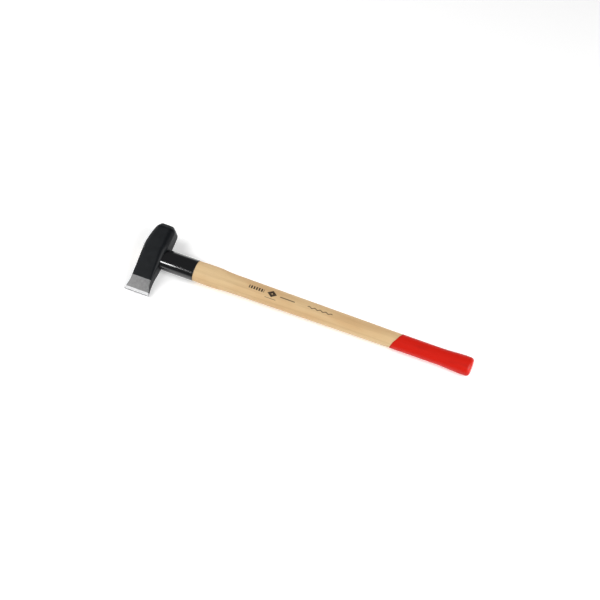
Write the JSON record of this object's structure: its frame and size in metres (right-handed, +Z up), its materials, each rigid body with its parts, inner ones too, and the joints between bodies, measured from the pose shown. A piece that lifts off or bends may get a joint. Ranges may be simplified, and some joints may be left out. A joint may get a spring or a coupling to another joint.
{
  "type": "splitting maul",
  "caption": "Splitting maul with a forged wedge head and bevelled poll, a steel sleeve under the head and a straight oval wooden handle with a dip-coated grip.",
  "frame": {"origin": "on the floor under the middle of the bounding box, with the maul lying as it would on flat ground: on the lower edge of one cheek and on the knob of the grip", "axes": "+X along the handle from the head to the grip, -Y towards the cutting edge, +Z up from the floor; the head leans about 11 degrees about the handle and the handle's axis dips 0.6 degrees towards the grip"},
  "size_m": [0.9085, 0.1945, 0.0658],
  "materials": {
    "head_coating": "satin blue-black coat, bare ground steel along the bevels of the bit",
    "handle_wood": "pale, lightly oiled, grain along the handle",
    "sleeve_coating": "gloss black",
    "wedge_wood": "sawn, darker than the handle",
    "wedge_steel": "bare steel",
    "grip_lacquer": "glossy dipped red lacquer"
  },
  "bodies": {
    "root": {"maul_head": "head_coating", "handle": "handle_wood", "protective_sleeve": "sleeve_coating", "wood_wedge": "wedge_wood", "ring_wedge": "wedge_steel", "grip_coat": "grip_lacquer"}
  },
  "joints": []
}
